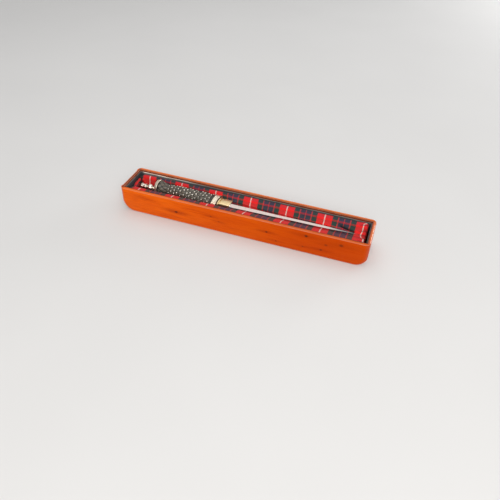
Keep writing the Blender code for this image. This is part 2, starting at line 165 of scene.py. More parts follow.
def rounding(radius, depth):
    """How far an edge of this radius has drawn back at this depth below the face."""
    if depth >= radius:
        return 0.0
    return radius - math.sqrt(radius ** 2 - (radius - depth) ** 2)


def set_material(obj, material):
    obj.data.materials.clear()
    obj.data.materials.append(material)


def put_in_place(obj, body, node, material):
    """Give a piece its looks and its body and, unless node is None, hide its CAD node."""
    set_material(obj, material)
    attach(obj, body)
    if node:
        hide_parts(node)


# ---------------- material helper
class Material:
    """A node material with short ways to add its nodes. Sockets or values go anywhere."""

    def __init__(self, name, **settings):
        self.material = bpy.data.materials.new(name)
        self.material.use_nodes = True
        self.tree = self.material.node_tree
        self.shader = self.tree.nodes["Principled BSDF"]
        self.position = self.node("ShaderNodeTexCoord").outputs["Object"]
        self.normal = self.node("ShaderNodeTexCoord").outputs["Normal"]
        self.set(**settings)

    def put(self, socket, value):
        if isinstance(value, bpy.types.NodeSocket):
            self.tree.links.new(value, socket)
        else:
            socket.default_value = value

    def node(self, kind, inputs=None, **settings):
        made = self.tree.nodes.new(kind)
        for key, value in settings.items():
            setattr(made, key, value)
        for key, value in (inputs or {}).items():
            self.put(made.inputs[key], value)
        return made

    def set(self, **settings):
        """Set the shader's sockets: base_color=... means "Base Color"."""
        names = {socket.name.lower().replace(" ", "_"): socket for socket in self.shader.inputs}
        for key, value in settings.items():
            if isinstance(value, tuple) and len(value) == 3:
                value = (*value, 1.0)
            self.put(names[key], value)

    def math(self, operation, first, second=0.0):
        return self.node("ShaderNodeMath", {0: first, 1: second},
                         operation=operation).outputs[0]

    def plus(self, first, second):
        return self.math("ADD", first, second)

    def minus(self, first, second):
        return self.math("SUBTRACT", first, second)

    def times(self, first, second):
        return self.math("MULTIPLY", first, second)

    def mix(self, factor, first, second):
        made = self.node("ShaderNodeMix", data_type="RGBA")
        for index, value in ((0, factor), (6, first), (7, second)):
            if isinstance(value, tuple) and len(value) == 3:
                value = (*value, 1.0)
            self.put(made.inputs[index], value)
        return made.outputs[2]

    def axis(self, vector, which):
        return self.node("ShaderNodeSeparateXYZ", {0: vector}).outputs[which]

    def scaled(self, vector, scale):
        return self.node("ShaderNodeMapping", {"Vector": vector, "Scale": scale}).outputs[0]

    def length(self, vector):
        made = self.node("ShaderNodeVectorMath", {0: vector}, operation="LENGTH")
        return made.outputs["Value"]

    def noise(self, vector, scale=1.0, detail=2.0, roughness=0.5, distortion=0.0):
        made = self.node("ShaderNodeTexNoise", {"Vector": vector, "Scale": scale,
                                                "Detail": detail, "Roughness": roughness,
                                                "Distortion": distortion})
        return made.outputs[0]

    def range(self, value, low, high, to_low=0.0, to_high=1.0):
        """A smooth S from to_low at low to to_high at high."""
        made = self.node("ShaderNodeMapRange", {0: value, 1: low, 2: high, 3: to_low,
                                                4: to_high}, interpolation_type="SMOOTHSTEP")
        return made.outputs[0]

    def ramp(self, value, stops, interpolation="LINEAR"):
        made = self.node("ShaderNodeValToRGB", {0: value})
        made.color_ramp.interpolation = interpolation
        elements = made.color_ramp.elements
        while len(elements) < len(stops):
            elements.new(0.5)
        for element, (place, colour) in zip(elements, stops):
            element.position = place
            element.color = (*colour, 1.0)
        return made.outputs[0]

    def bump(self, height, strength, distance, under=None):
        inputs = {"Height": height, "Strength": strength, "Distance": distance}
        if under is not None:
            inputs["Normal"] = under
        return self.node("ShaderNodeBump", inputs).outputs[0]

    def attribute(self, name, output="Fac"):
        made = self.node("ShaderNodeAttribute", attribute_name=name)
        return made.outputs[output]


# ---------------- varnished wood
# Knots on the long boards: x and height in mm, radius, and how dark.
FRONT_KNOTS = [(-130.0, 24.0, 3.2, 1.0), (-55.0, 34.0, 1.8, 0.8), (-38.0, 25.0, 1.7, 0.7),
               (60.0, 28.5, 2.3, 1.0), (80.0, 12.0, 1.8, 0.7), (137.0, 41.0, 3.2, 0.95),
               (176.0, 31.0, 3.0, 0.6), (204.0, 38.5, 4.2, 0.65), (168.0, 17.0, 2.4, 0.9),
               (133.0, 15.0, 1.9, 0.6)]
BACK_KNOTS = [(-176.0, 31.0, 2.6, 0.8), (-52.0, 15.0, 1.8, 0.6), (38.0, 36.0, 2.2, 0.9),
              (158.0, 22.0, 3.0, 0.7)]
WOOD_PALE = (0.88, 0.17, 0.002)
WOOD_LIGHT = (0.83, 0.130, 0.0015)
WOOD_MIDDLE = (0.70, 0.090, 0.001)
WOOD_DARK = (0.36, 0.032, 0.001)
WOOD_RED = (0.44, 0.036, 0.0005)    # the right-hand end is redder
# Worn varnish and a painted reflection on the rim's top.
WOOD_WORN_AND_REFLECTION = (0.66, 0.19, 0.055)
# Painted shade inside the case.
WOOD_INSIDE_SHADE = (0.10, 0.018, 0.005)
# Wear and a painted highlight on the rounded top edges.
WOOD_ARRIS_HIGHLIGHT_AND_WEAR = (0.85, 0.5, 0.36)
# A painted reflection of the pale floor on the rounded foot.
WOOD_FOOT_REFLECTION = (0.62, 0.13, 0.03)
KNOT_CORE = (0.05, 0.012, 0.006)
LONG_GRAIN = (9.0, 60.0, 60.0)      # low along the grain, high across it
CROSS_GRAIN = (60.0, 9.0, 60.0)


def wood_material(name, grain, knots=(), coat=0.02):
    """Orange-red varnished softwood; grain scales the position so that streaks run along it."""
    wood = Material(name, roughness=0.3, specular_ior_level=0.3,
                    specular_tint=(1.0, 0.35, 0.0), coat_weight=coat, coat_roughness=0.12)
    along = wood.scaled(wood.position, grain)
    broad = wood.noise(along, 1.0, 3.0, 0.55, 0.4)
    streaks = wood.noise(wood.scaled(along, (1.0, 3.4, 3.4)), 2.2, 6.0, 0.62, 0.7)
    fine = wood.noise(wood.scaled(along, (1.6, 12.0, 12.0)), 3.0, 4.0, 0.6)
    blend = wood.plus(wood.times(broad, 0.5), wood.times(streaks, 0.5))
    colour = wood.ramp(blend, [(0.28, WOOD_DARK), (0.42, WOOD_MIDDLE), (0.56, WOOD_LIGHT),
                               (0.75, WOOD_PALE)])
    colour = wood.mix(wood.range(fine, 0.52, 0.72, 0.0, 0.4), colour, WOOD_DARK)
    x, y, z = (wood.axis(wood.position, which) for which in (0, 1, 2))
    redder = wood.range(x, mm(-270.0), mm(200.0), 0.0, 0.82)
    colour = wood.mix(redder, colour, WOOD_RED)
    for knot_x, knot_z, radius, dark in knots:
        middle = wood.node("ShaderNodeCombineXYZ", {0: mm(knot_x), 1: 0.0, 2: mm(knot_z)})
        wander = wood.times(wood.minus(streaks, 0.5), mm(3.0))
        gap = wood.node("ShaderNodeVectorMath", {0: wood.position, 1: middle.outputs[0]},
                        operation="SUBTRACT").outputs[0]
        near = wood.plus(wood.length(wood.scaled(gap, (0.75, 0.0, 1.0))), wander)
        far = wood.length(wood.scaled(gap, (0.16, 0.0, 1.0)))
        halo = wood.range(far, mm(0.4), mm(radius * 2.4), 0.7 * dark, 0.0)
        core = wood.range(near, mm(radius * 0.3), mm(radius), 0.9 * dark, 0.0)
        colour = wood.mix(halo, colour, WOOD_DARK)
        colour = wood.mix(core, colour, KNOT_CORE)
    # The rim's top is paler in patches, least at the left and at the front: partly worn varnish,
    # partly a painted reflection.
    up = wood.axis(wood.normal, 2)
    wear = wood.noise(wood.scaled(wood.position, (0.35, 1.0, 1.0)), 160.0, 3.0, 0.6)
    beyond_y = wood.minus(wood.math("ABSOLUTE", y), mm(INNER_HALF_WIDTH))
    beyond_x = wood.minus(wood.math("ABSOLUTE", x), mm(HALF_LENGTH - WALL))
    beyond = wood.math("MAXIMUM", beyond_x, beyond_y)
    patchy = wood.plus(beyond, wood.times(wood.minus(wear, 0.5), mm(2.4)))
    worn = wood.times(wood.range(up, 0.25, 0.75),
                      wood.range(patchy, mm(1.6), mm(3.4), 0.0, 0.85))
    worn = wood.times(worn, wood.range(x, mm(-249.0), mm(-244.0), 0.3, 1.0))
    worn = wood.times(worn, wood.range(y, mm(-36.0), mm(10.0), 0.45, 0.8))
    colour = wood.mix(worn, colour, WOOD_WORN_AND_REFLECTION)
    # Painted shade on the inside and the rim's inner edge: strongest above 9 mm, weak below 4 mm.
    stained = wood.minus(patchy, wood.range(x, mm(-246.0), mm(-249.0), 0.0, mm(2.2)))
    inside = wood.times(wood.range(stained, mm(2.3), mm(0.9)),
                        wood.range(z, mm(4.0), mm(9.0), 0.3, 0.85))
    colour = wood.mix(inside, colour, WOOD_INSIDE_SHADE)
    # The rounded top edges paler in patches: wear and a painted highlight.
    arris = wood.times(wood.range(z, mm(RIM - 1.3), mm(RIM - 0.3)),
                       wood.range(up, 0.98, 0.7, 0.0, 0.7))
    colour = wood.mix(wood.times(arris, wear), colour, WOOD_ARRIS_HIGHLIGHT_AND_WEAR)
    # The foot paler and pinker: a painted reflection of the pale floor.
    colour = wood.mix(wood.range(z, mm(2.8), mm(0.6), 0.0, 0.4), colour, WOOD_FOOT_REFLECTION)
    pores = wood.noise(wood.scaled(along, (2.0, 40.0, 40.0)), 4.0, 3.0, 0.7)
    relief = wood.bump(streaks, 0.12, mm(0.25))
    relief = wood.bump(pores, 0.10, mm(0.12), relief)
    wood.set(base_color=colour, normal=relief,
             roughness=wood.range(fine, 0.3, 0.7, 0.24, 0.4))
    return wood.material


def side_board(side):
    """A long board, as slices from its outer face to its inner face."""
    sections = []
    depths = [0.0, 0.12, 0.35, 0.65, 1.0, 1.6, 2.6, 3.8, 5.2, 6.4, 6.75, 6.92, WALL]
    for depth in depths:
        reach = HALF_LENGTH - rounding(CORNER_RADIUS, depth)
        foot = rounding(FOOT_ARRIS, depth)
        top = RIM - max(rounding(RIM_ARRIS, depth), rounding(INNER_ARRIS, WALL - depth))
        outline = [(reach, top)]
        for way, degrees in ((1, (0.0, -90.0)), (-1, (-90.0, 0.0))):
            radius = END_RADIUS[way]
            for x, z in arc((0.0, 0.0), 1.0, *degrees, 16):
                outline.append((way * (reach - radius + radius * x),
                                radius + (radius - foot) * z))
        outline.append((-reach, top))
        y = side * (HALF_WIDTH - depth)
        sections.append([(x, y, z) for x, z in outline])
    return sections


def end_board(side):
    """An end, as slices from front to back; its bottom bends under to the bottom board."""
    edge = INNER_HALF_WIDTH - GLUE_GAP
    radius = END_RADIUS[side]
    inner_x = HALF_LENGTH - WALL
    half = [0.0, 8.0, 16.0, 20.0, 23.0, 26.0, 28.5, 30.5, 31.5, 32.5, 33.3, 34.0, edge]
    sections = []
    for y in [-value for value in reversed(half)] + half[1:]:
        reach = HALF_LENGTH - rounding(CORNER_RADIUS, HALF_WIDTH - abs(y))
        arris = RIM_ARRIS + (END_ARRIS - RIM_ARRIS) * (1.0 - smooth_step(abs(y), 27.0, edge))
        outline = [(inner_x, RIM - INNER_ARRIS), (inner_x + 0.2, RIM - 0.2),
                   (inner_x + INNER_ARRIS, RIM)]
        outline += arc((reach - arris, RIM - arris), arris, 90, 0, 8)
        outline += arc((reach - radius, radius), radius, 0, -90, 20)
        outline += arc((HALF_LENGTH - radius, radius), radius - WALL, -90, 0, 12)
        sections.append([(side * x, y, z) for x, z in outline])
    return sections


def build_case():
    front = wood_material("varnished_wood_front", LONG_GRAIN, FRONT_KNOTS)
    back = wood_material("varnished_wood_back", LONG_GRAIN, BACK_KNOTS)
    long_wood = wood_material("varnished_wood_long", LONG_GRAIN)
    cross_wood = wood_material("varnished_wood_cross", CROSS_GRAIN, coat=0.5)
    left, right = -HALF_LENGTH + END_RADIUS[-1], HALF_LENGTH - END_RADIUS[1]
    width = INNER_HALF_WIDTH - GLUE_GAP
    floor = []
    for x in (left + GLUE_GAP, right - GLUE_GAP):
        floor.append([(x, -width, 0.0), (x, width, 0.0), (x, width, WALL), (x, -width, WALL)])
    boards = (("front_side", side_board(-1), front), ("back_side", side_board(1), back),
              ("left_end", end_board(-1), cross_wood), ("right_end", end_board(1), cross_wood),
              ("bottom_board", floor, long_wood))
    for node, sections, material in boards:
        put_in_place(loft("wood_" + node, sections, 28.0), "case", node, material)


# ---------------- liners
def liner_material():
    """Black flocked card whose cut top edge shows the pale core, brightest at the left."""
    card = Material("liner_card", roughness=0.85, specular_ior_level=0.2)
    grain = card.noise(card.position, 900.0, 3.0, 0.6)
    dark = card.mix(grain, (0.018, 0.019, 0.022), (0.05, 0.05, 0.055))
    x = card.axis(card.position, 0)
    up = card.axis(card.normal, 2)
    z = card.axis(card.position, 2)
    rub = card.noise(card.scaled(card.position, (45.0, 200.0, 200.0)), 1.0, 3.0, 0.6)
    fade = card.range(x, mm(-230.0), mm(-80.0), 1.0, 0.15)
    back = card.times(card.range(card.axis(card.position, 1), mm(22.0), mm(32.0)),
                      card.range(x, mm(-245.0), mm(-236.0)))
    fade = card.math("MAXIMUM", card.times(fade, back), 0.12)
    depth = card.plus(card.minus(mm(LINER_TOP), z), card.times(rub, mm(-3.0)))
    frayed = card.times(card.range(depth, mm(0.5), mm(-0.6)), 0.9)
    edge = card.math("MAXIMUM", card.range(up, 0.2, 0.7), frayed)
    edge = card.times(card.times(edge, fade), card.range(rub, 0.25, 0.6, 0.7, 1.0))
    colour = card.mix(edge, dark, (0.92, 0.86, 0.76))
    card.set(base_color=colour, normal=card.bump(grain, 0.3, mm(0.1)))
    return card.material


def build_liners():
    """Upright card strips that wander a little along their length, and the floor sheet."""
    card = liner_material()
    for node in ("front_liner", "back_liner", "left_liner", "right_liner"):
        low, high = box_mm(node)
        along_x = high.x - low.x > high.y - low.y
        start, stop = (low.x, high.x) if along_x else (low.y, high.y)
        count = max(int((stop - start) / 4.0), 8)
        thick_low, thick_high = (low.y, high.y) if along_x else (low.x, high.x)
        sections = []
        for step in range(count + 1):
            place = start + (stop - start) * step / count
            drop = 0.35 + 0.7 * noise.noise((place * 0.035, thick_low, 3.0))
            thin = 0.3 + 0.3 * noise.noise((place * 0.05, thick_low, 9.0))
            inside = thick_low + thin if thick_low > 0 else thick_low
            outside = thick_high - thin if thick_low < 0 else thick_high
            top = high.z - max(drop, 0.0)
            outline = [(inside, low.z), (outside, low.z), (outside, top - 0.3),
                       (outside - 0.25, top), (inside + 0.25, top), (inside, top - 0.3)]
            if along_x:
                sections.append([(place, across, z) for across, z in outline])
            else:
                sections.append([(across, place, z) for across, z in outline])
        put_in_place(loft("card_" + node, sections, 50.0), "case", node, card)
    set_material(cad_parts["floor_liner"], card)


# ---------------- the tartan lining
# Sections of the padded cloth from the back liner to the front liner, (y, z) of its top.
BLADE_SECTION = [(32.2, 38.0), (32.1, 42.0), (31.6, 44.8), (29.6, 45.8), (26.4, 45.1),
                 (23.9, 43.2), (22.3, 39.8), (20.0, 36.4), (16.0, 34.6), (10.0, 33.9),
                 (4.0, 33.6), (-1.0, 34.0), (-5.0, 35.6), (-9.0, 37.9), (-14.0, 40.4),
                 (-19.0, 42.5), (-24.0, 43.7), (-28.0, 44.1), (-31.0, 43.6), (-32.0, 41.5),
                 (-32.2, 38.0)]
HILT_SECTION = [(32.2, 36.0), (32.1, 39.0), (31.3, 42.0), (29.5, 44.3), (27.4, 44.9),
                (25.7, 43.0), (24.8, 39.0), (24.0, 33.5), (21.3, 27.0), (15.5, 22.6),
                (7.0, 21.2), (-1.5, 22.6), (-7.0, 27.0), (-10.2, 33.5), (-11.6, 38.5),
                (-15.0, 41.5), (-20.0, 43.2), (-26.0, 44.0), (-30.8, 43.7), (-32.0, 41.5),
                (-32.2, 38.0)]
# The raised lip at the left end: other heights at the same places.
LIP_HEIGHTS = [36.0, 39.0, 42.0, 44.3, 44.9, 44.4, 43.8, 43.4, 42.9, 42.6, 42.4, 42.0, 41.8,
               41.7, 41.7, 42.2, 43.2, 44.0, 43.7, 41.5, 38.0]
LIP_SECTION = [(y, height) for (y, _), height in zip(HILT_SECTION, LIP_HEIGHTS)]
TROUGH_STEP = (-54.0, -26.0)        # the trough changes from one section to the other
LIP_STEP = (-237.5, -232.0)         # a raised lip closes the trough's left end
LEFT_FALL = (12.0, 4.5)             # the cloth falls by 4.5 mm over its last 12 mm
RIGHT_FALL = (4.0, 8.0)
CLOTH_FLOOR, CLOTH_CREST = 21.2, 45.0   # the lowest and the highest point of the sections
CLOTH_THICKNESS = 0.9
CLOTH_STEP = 1.5
SPLITS = 4
PAD_VOXEL = 5.0
PAD_SHRINK = 1.3                # the pads start smaller, and the simulation swells them
PAD_SWELL = 1.1                 # the most that a point of a pad may move
PAD_DEPTH = 1.5                 # the least that it lies under the top of the cloth


def curve_through(points):
    """A smooth line through the points, with SPLITS steps from each to the next."""
    line = []
    padded = [points[0]] + list(points) + [points[-1]]
    for index in range(len(points) - 1):
        near = [Vector(point) for point in padded[index:index + 4]]
        line += [blend_between(*near, step / SPLITS) for step in range(SPLITS)]
    line.append(Vector(points[-1]))
    return line


def pucker(x, y):
    """The gathers at the cloth's right end, from -1 in a fold, given painted shade, to 1 on a
    crest.
    """
    return math.sin(y * 0.62 + 2.4 * noise.noise((x * 0.09, y * 0.05, 2.0)))


def creases(x, y):
    """Painted shade, 0 to 1, and sinking, in mm, of the cloth in folds and under the finial."""
    line = 19.6 - 0.21 * (x - 188.0)
    beside_point = smooth_step(x, 184.0, 200.0) * smooth_step(x, 221.0, 218.0)
    beside_point *= math.exp(-((y - line) / 2.2) ** 2)
    line = -240.6 + 0.38 * (23.4 - y)
    beside_lip = smooth_step(y, -9.0, -5.0) * smooth_step(y, 27.0, 24.0)
    beside_lip *= math.exp(-((x - line) / 1.8) ** 2)
    under_finial = smooth_step(x, -199.0, -207.0) * smooth_step(x, -238.5, -235.0)
    under_finial *= smooth_step(y, -12.5, -9.0) * smooth_step(y, 21.5, 18.0)
    # Painted shade: darkest beside the point and the lip and in the trough under the finial.
    dark = min(max(2.2 * beside_point, 1.7 * beside_lip, 0.95 * under_finial), 1.0)
    return dark, max(3.0 * beside_point, 4.5 * beside_lip)


def cloth_row(x):
    """The cloth's section at one place along the case, (y, z) points."""
    blend = smooth_step(x, *TROUGH_STEP)
    lip = 1.0 - smooth_step(x, *LIP_STEP)
    section = []
    for hilt, blade, raised in zip(HILT_SECTION, BLADE_SECTION, LIP_SECTION):
        section.append([hilt[axis] + (blade[axis] - hilt[axis]) * blend
                        + (raised[axis] - hilt[axis]) * lip for axis in (0, 1)])
    fall = LEFT_FALL[1] * smooth_step(CLOTH_LEFT + LEFT_FALL[0] - x, 0.0, LEFT_FALL[0])
    end = min(max((x - CLOTH_RIGHT) / RIGHT_FALL[0] + 1.0, 0.0), 1.0)
    fall += RIGHT_FALL[1] * (1.0 - math.sqrt(1.0 - 0.98 * end * end))
    row = []
    for y, z in curve_through(section):
        sag = fall * max(z - CLOTH_FLOOR, 0.0) / (CLOTH_CREST - CLOTH_FLOOR)
        lumps = 0.5 * noise.noise((x * 0.028, y * 0.06, 1.0))
        lumps += 0.25 * noise.noise((x * 0.11, y * 0.12, 5.0))
        pinch = math.exp(-((y - 7.0) / 4.5) ** 2)
        lumps += smooth_step(x, 218.0, 236.0) * (1.2 * pucker(x, y) - 2.2 * pinch)
        left = smooth_step(x, -228.0, -240.0)
        lumps += left * 1.2 * noise.noise((x * 0.16, y * 0.13, 8.0))
        lumps -= left * 3.0 * math.exp(-((y + 4.0) / 6.0) ** 2)
        raised = smooth_step(z, 33.0, 40.0)
        row.append((y, z - sag + lumps * raised - creases(x, y)[1]))
    return row


def pattern_shift(x, y):
    """How far the tartan's crosswise lines are pulled out of true, in mm."""
    wander = 0.8 * noise.noise((x * 0.02, y * 0.05, 4.0))
    wander += 2.4 * smooth_step(x, -190.0, -218.0)
    lip = smooth_step(x, -237.6, -239.4) * smooth_step(y, 21.0, 18.0) * smooth_step(y, -5.0, -2.0)
    wander -= 17.0 * lip
    end = smooth_step(x, 220.0, 233.0)
    pull = 5.0 * smooth_step(y, 28.0, 31.5) - 1.0
    pull += 5.5 * smooth_step(-y, -3.0, 9.0) - 1.6 * math.exp(-((y - 8.0) / 5.0) ** 2)
    return wander + end * pull


RED, DULL_RED, MAROON = (0.86, 0.022, 0.022), (0.50, 0.050, 0.048), (0.27, 0.048, 0.048)
GREEN, NAVY = (0.032, 0.060, 0.051), (0.052, 0.045, 0.074)
WHITE = (0.92, 0.66, 0.58)
DARK_BANDS = [(10.3, GREEN), (2.3, DULL_RED), (9.7, NAVY), (1.7, DULL_RED), (9.7, NAVY),
              (2.3, DULL_RED), (10.3, GREEN)]
WARP = [(0.9, WHITE), (14.05, RED)] + DARK_BANDS + [(14.05, RED), (0.9, WHITE)]
# Lengthwise stripes as they lie from the back liner to the front one, in mm.
WEFT = [(15.0, NAVY), (3.2, RED), (9.6, GREEN), (6.0, RED), (8.0, GREEN), (2.3, DULL_RED),
        (7.5, NAVY), (45.0, MAROON)]
WEFT_LENGTH = sum(width for width, _ in WEFT)
THREAD, RIB = 0.7, 0.6          # width of a thread and of the weave's small ribs, in mm


def stripe_ramp(cloth, place, which, widths, repeat):
    """Colour of the stripes across one direction of the weave, with soft edges."""
    stops, reached = [], 0.0
    for width, colour in widths:
        stops.append((reached / repeat, colour))
        reached += width
    fray = cloth.times(cloth.minus(cloth.noise(place, 2.0, 1.0), 0.5), 0.9)
    turn = cloth.math("DIVIDE", cloth.plus(cloth.axis(place, which), fray), repeat)
    return cloth.ramp(cloth.math("FRACT", turn), stops, "CONSTANT")


def tartan_material():
    """A woven tartan: crosswise stripes over weaker lengthwise ones, in a 3/1 twill."""
    cloth = Material("tartan_cloth", roughness=0.85, specular_ior_level=0.12,
                     sheen_weight=0.06, sheen_roughness=0.4, sheen_tint=(1.0, 0.6, 0.6))
    place = cloth.attribute("weave", "Vector")
    warp_stripes = stripe_ramp(cloth, place, 0, WARP, SETT)
    weft_stripes = stripe_ramp(cloth, place, 1, WEFT, WEFT_LENGTH)
    threads = [cloth.math("FLOOR", cloth.math("DIVIDE", cloth.axis(place, which), THREAD))
               for which in (0, 1)]
    twill = cloth.math("MODULO", cloth.plus(cloth.plus(*threads), 4000.0), 4.0)
    over = cloth.math("GREATER_THAN", twill, 2.5)
    share = cloth.plus(0.23, cloth.times(over, 0.22))
    colour = cloth.mix(share, warp_stripes, weft_stripes)
    slub = cloth.noise(cloth.scaled(place, (2.2, 0.5, 1.0)), 1.0, 2.0, 0.6)
    colour = cloth.mix(cloth.range(slub, 0.3, 0.7, 0.0, 0.2), colour, (0.0, 0.0, 0.0))
    # Painted shade in the folds, the gathers and under the finial.
    depth = cloth.times(cloth.attribute("painted_fold_shade"), 0.92)
    colour = cloth.mix(depth, colour, (0.008, 0.005, 0.005))
    weft = cloth.math("SINE", cloth.times(cloth.axis(place, 1), math.pi / RIB))
    warp = cloth.math("SINE", cloth.times(cloth.axis(place, 0), math.pi / RIB))
    relief = cloth.plus(cloth.times(weft, warp), cloth.times(over, 0.6))
    cloth.set(base_color=colour, normal=cloth.bump(relief, 0.5, mm(0.12)))
    return cloth.material


def build_lining():
    """The tartan cover, a sheet over the wadding, with its weave's place at every point."""
    count = int(round((CLOTH_RIGHT - CLOTH_LEFT) / CLOTH_STEP))
    ground = curve_through(BLADE_SECTION)
    shape = bmesh.new()
    weave = shape.verts.layers.float_vector.new("weave")
    shade = shape.verts.layers.float.new("painted_fold_shade")
    rows = []
    for step in range(count + 1):
        x = CLOTH_LEFT + (CLOTH_RIGHT - CLOTH_LEFT) * step / count
        row, run = [], 0.0
        for index, (y, z) in enumerate(cloth_row(x)):
            if index:
                run += (ground[index] - ground[index - 1]).length
            vert = shape.verts.new(mm(x, y, z))
            vert[weave] = (x - SETT_START - pattern_shift(x, y), run, 0.0)
            # Painted shade in the gathers' folds, at half strength.
            gather = max(-pucker(x, y), 0.0) * smooth_step(x, 222.0, 234.0)
            vert[shade] = max(creases(x, y)[0], 0.5 * gather)
            row.append(vert)
        rows.append(row)
    for first, second in zip(rows, rows[1:]):
        for index in range(len(first) - 1):
            shape.faces.new((first[index], second[index], second[index + 1], first[index + 1]))
    lining = object_from("tartan_lining", shape)
    thickness = lining.modifiers.new("cloth", "SOLIDIFY")
    thickness.thickness = mm(CLOTH_THICKNESS)
    thickness.offset = -1.0
    put_in_place(lining, "case", "tartan_cover", tartan_material())
    cotton = wadding_material()
    pads = [build_wadding(node, cotton) for node in ("front_wadding", "back_wadding",
                                                     "base_wadding", "blade_wadding")]


def wadding_material():
    """Off-white cotton wadding, matted and fluffy."""
    cotton = Material("cotton_wadding", roughness=0.95, specular_ior_level=0.1,
                      sheen_weight=0.3, sheen_roughness=0.6)
    tufts = cotton.noise(cotton.position, 260.0, 5.0, 0.7, 0.8)
    fibres = cotton.noise(cotton.position, 1500.0, 3.0, 0.7)
    colour = cotton.ramp(tufts, [(0.3, (0.50, 0.46, 0.38)), (0.6, (0.76, 0.73, 0.66))])
    relief = cotton.plus(tufts, cotton.times(fibres, 0.4))
    cotton.set(base_color=colour, normal=cotton.bump(relief, 0.6, mm(0.8)))
    return cotton.material


def cloth_height(x, y):
    """Height of the cloth's top at a place in the case, all in mm."""
    row = cloth_row(min(max(round(x), CLOTH_LEFT), CLOTH_RIGHT))
    for (y0, z0), (y1, z1) in zip(row, row[1:]):
        if y1 <= y <= y0:
            return z1 + (z0 - z1) * (y - y1) / max(y0 - y1, 0.001)
    return row[0][1]


def freeze(obj):
    """Apply an object's modifiers to its mesh."""
    graph = bpy.context.evaluated_depsgraph_get()
    mesh = bpy.data.meshes.new_from_object(obj.evaluated_get(graph))
    obj.modifiers.clear()
    obj.data = mesh


def build_wadding(node, cotton):
    """A pad swollen by cloth simulation inside the space of its CAD node."""
    pad = add_object("pad_" + node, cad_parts[node].data.copy())
    remesh = pad.modifiers.new("remesh", "REMESH")
    remesh.mode = "VOXEL"
    remesh.voxel_size = mm(PAD_VOXEL)
    shrink = pad.modifiers.new("shrink", "DISPLACE")
    shrink.strength = mm(-PAD_SHRINK)
    shrink.mid_level = 0.0
    freeze(pad)
    start = [vertex.co.copy() for vertex in pad.data.vertices]
    cloth = pad.modifiers.new("cloth", "CLOTH")
    cloth.settings.use_pressure = True
    cloth.settings.uniform_pressure_force = 4.0
    cloth.settings.effector_weights.gravity = 0.0
    scene = bpy.context.scene
    for number in range(1, 21):
        scene.frame_set(number)
    freeze(pad)
    scene.frame_set(1)
    for vertex, before in zip(pad.data.vertices, start):
        move = vertex.co - before
        if move.length > mm(PAD_SWELL):
            vertex.co = before + move.normalized() * mm(PAD_SWELL)
        ceiling = mm(cloth_height(vertex.co.x * 1000.0, vertex.co.y * 1000.0) - PAD_DEPTH)
        vertex.co.z = min(vertex.co.z, ceiling)
    smoother = pad.modifiers.new("subdivision", "SUBSURF")
    smoother.levels = smoother.render_levels = 1
    pad.data.shade_smooth()
    put_in_place(pad, "case", node, cotton)
    return pad.name


# ---------------- metal, leather, wood of the dirk
def metal_material(name, colour, tarnish, roughness, scratch=0.25, grain=(1.0, 1.0, 1.0),
                   stained=(0.42, 0.78, 0.7), painted_dim_end=None):
    """A metal with stains between two levels of a noise and, if asked, painted shade at its far
    end.
    """
    metal = Material(name, metallic=1.0)
    stain = metal.noise(metal.position, 220.0, 4.0, 0.6, 0.6)
    rub = metal.noise(metal.scaled(metal.position, grain), 1400.0, 3.0, 0.6)
    colour = metal.mix(metal.range(stain, stained[0], stained[1], 0.0, stained[2]), colour,
                       tarnish)
    # Painted shade: the far end darkens where its reflection fades.
    if painted_dim_end:
        start, stop, dim = painted_dim_end
        fade = metal.range(metal.axis(metal.position, 0), mm(start), mm(stop))
        colour = metal.mix(fade, colour, dim)
    metal.set(base_color=colour,
              roughness=metal.range(stain, 0.3, 0.75, roughness * 0.8, roughness * 1.5),
              normal=metal.bump(rub, scratch, mm(0.02)))
    return metal.material


def grip_material():
    """Carved blackwood: painted shade in the cuts, strands paler by wear and a painted highlight.
    """
    wood = Material("carved_blackwood", specular_ior_level=0.5, coat_weight=0.1,
                    coat_roughness=0.25)
    height = wood.attribute("relief")
    fibre = wood.noise(wood.scaled(wood.position, (300.0, 1500.0, 1500.0)), 1.0, 3.0, 0.6)
    patch = wood.noise(wood.position, 90.0, 3.0, 0.6)
    # Painted shade in the cuts, a painted highlight and wear on the strands.
    colour = wood.ramp(height, [(0.0, (0.008, 0.007, 0.005)), (0.5, (0.036, 0.030, 0.022)),
                                (0.8, (0.105, 0.087, 0.063)), (1.0, (0.27, 0.23, 0.17))])
    colour = wood.mix(wood.range(patch, 0.35, 0.7, 0.0, 0.3), colour, (0.012, 0.010, 0.008))
    wood.set(base_color=colour, roughness=wood.range(fibre, 0.2, 0.8, 0.32, 0.55),
             normal=wood.bump(fibre, 0.15, mm(0.05)))
    return wood.material


def leather_material():
    leather = Material("washer_leather", roughness=0.7)
    creases = leather.noise(leather.position, 900.0, 4.0, 0.65)
    leather.set(base_color=leather.mix(creases, (0.02, 0.016, 0.012), (0.09, 0.07, 0.05)),
                normal=leather.bump(creases, 0.4, mm(0.1)))
    return leather.material


def hilt_piece(obj, node, material):
    """Set a piece made about the dirk's own axis in its place, instead of its CAD node."""
    obj.data.transform(DIRK)
    put_in_place(obj, "dirk", node, material)


LEAN_ANGLE = math.radians(50.0)     # the mounts are deepest at the back, a little above


